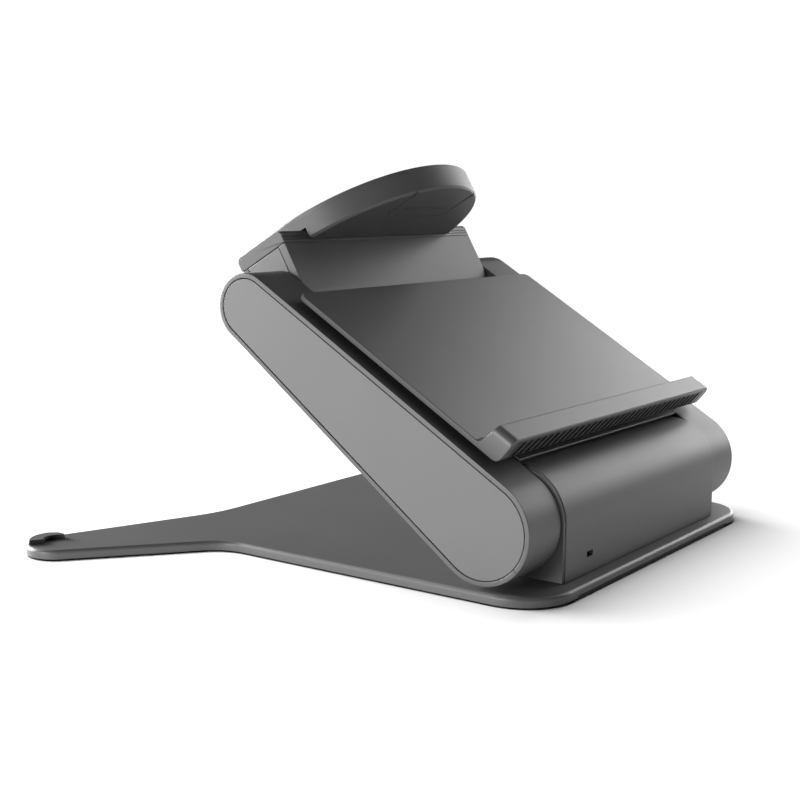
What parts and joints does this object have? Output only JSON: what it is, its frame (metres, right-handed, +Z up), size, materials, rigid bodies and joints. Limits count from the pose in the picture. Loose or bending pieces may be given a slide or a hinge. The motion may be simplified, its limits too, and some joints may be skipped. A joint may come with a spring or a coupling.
{
  "type": "pen display stand",
  "caption": "Adjustable desk stand for a pen display: flat base with two splayed legs, hinged arms with a lipped rear tray, and a tilting round display head.",
  "frame": {"origin": "floor level under the middle of the footprint (centre of the box's bottom face)", "axes": "+Z up; the user sits on the -Y side, where the two legs point; +X is the stand's right-hand side as the user sees it and runs along both hinge axes; +Y is the rear"},
  "size_m": [0.434, 0.3005, 0.2243],
  "materials": {
    "frame_paint": "satin dark grey powder coat",
    "body_plastic": "fine-grained satin dark grey moulding",
    "black_plastic": "matte black moulding",
    "rubber": "matte black",
    "steel": "zinc-plated or ground steel",
    "cast_alloy": "as-cast alloy",
    "bronze": "sintered bronze"
  },
  "bodies": {
    "base": {"base_plate": "frame_paint", "bracket_bush_left": "bronze", "bracket_bush_right": "bronze", "bracket_screw_1": "steel", "bracket_screw_2": "steel", "bracket_screw_3": "steel", "bracket_screw_4": "steel", "front_foot_left": "rubber", "front_foot_right": "rubber", "hinge_bracket_left": "steel", "hinge_bracket_right": "steel", "hinge_housing": "body_plastic", "housing_cheek_left": "body_plastic", "housing_cheek_right": "body_plastic", "leg_bumper_left": "rubber", "leg_bumper_right": "rubber", "leg_foot_left": "rubber", "leg_foot_right": "rubber", "lock_slot_plate": "steel", "rear_foot_strip": "rubber", "torsion_spring_left": "steel", "torsion_spring_right": "steel"},
    "arm": {"arm_beam_left": "cast_alloy", "arm_beam_right": "cast_alloy", "arm_cover_left": "body_plastic", "arm_cover_right": "body_plastic", "arm_shell_lower_left": "body_plastic", "arm_shell_lower_right": "body_plastic", "arm_shell_upper_left": "body_plastic", "arm_shell_upper_right": "body_plastic", "axle_nut_left": "steel", "axle_nut_right": "steel", "bridge_bottom_panel": "frame_paint", "bridge_top_panel": "frame_paint", "bridge_tube": "steel", "lip_grille": "black_plastic", "lower_axle": "steel", "rear_tray": "frame_paint", "spring_collar_left": "cast_alloy", "spring_collar_right": "cast_alloy", "tray_spacer_1": "black_plastic", "tray_spacer_2": "black_plastic", "tray_spacer_3": "black_plastic", "tray_spacer_4": "black_plastic", "upper_axle": "steel"},
    "head": {"brake_pushrod": "steel", "disc_face_plate": "frame_paint", "disc_shell": "body_plastic", "head_crossbar": "frame_paint", "lever_leaf_spring": "steel", "lever_pin": "steel", "neck_core": "cast_alloy", "neck_front_cover": "body_plastic", "neck_rear_cover": "body_plastic", "neck_side_panel_left": "body_plastic", "neck_side_panel_right": "body_plastic", "release_slider": "steel", "tilt_friction_pack_left": "steel", "tilt_friction_pack_right": "steel"},
    "lever": {"release_lever": "body_plastic"}
  },
  "joints": [
    {"name": "arm_lift", "type": "hinge", "parent": "base", "child": "arm", "pos_m": [0, 0.11075, 0.0369], "axis": [-1, 0, 0], "range_deg": [-18, 36]},
    {"name": "head_tilt", "type": "hinge", "parent": "arm", "child": "head", "pos_m": [0, -0.04732, 0.14232], "axis": [1, 0, 0], "range_deg": [-30, 45]},
    {"name": "release_lever", "type": "hinge", "parent": "head", "child": "lever", "pos_m": [0, -0.02031, 0.19756], "axis": [-1, 0, 0], "range_deg": [0, 6], "stiffness_Nm_per_rad": 0.6, "springref_deg": -11.46}
  ]
}
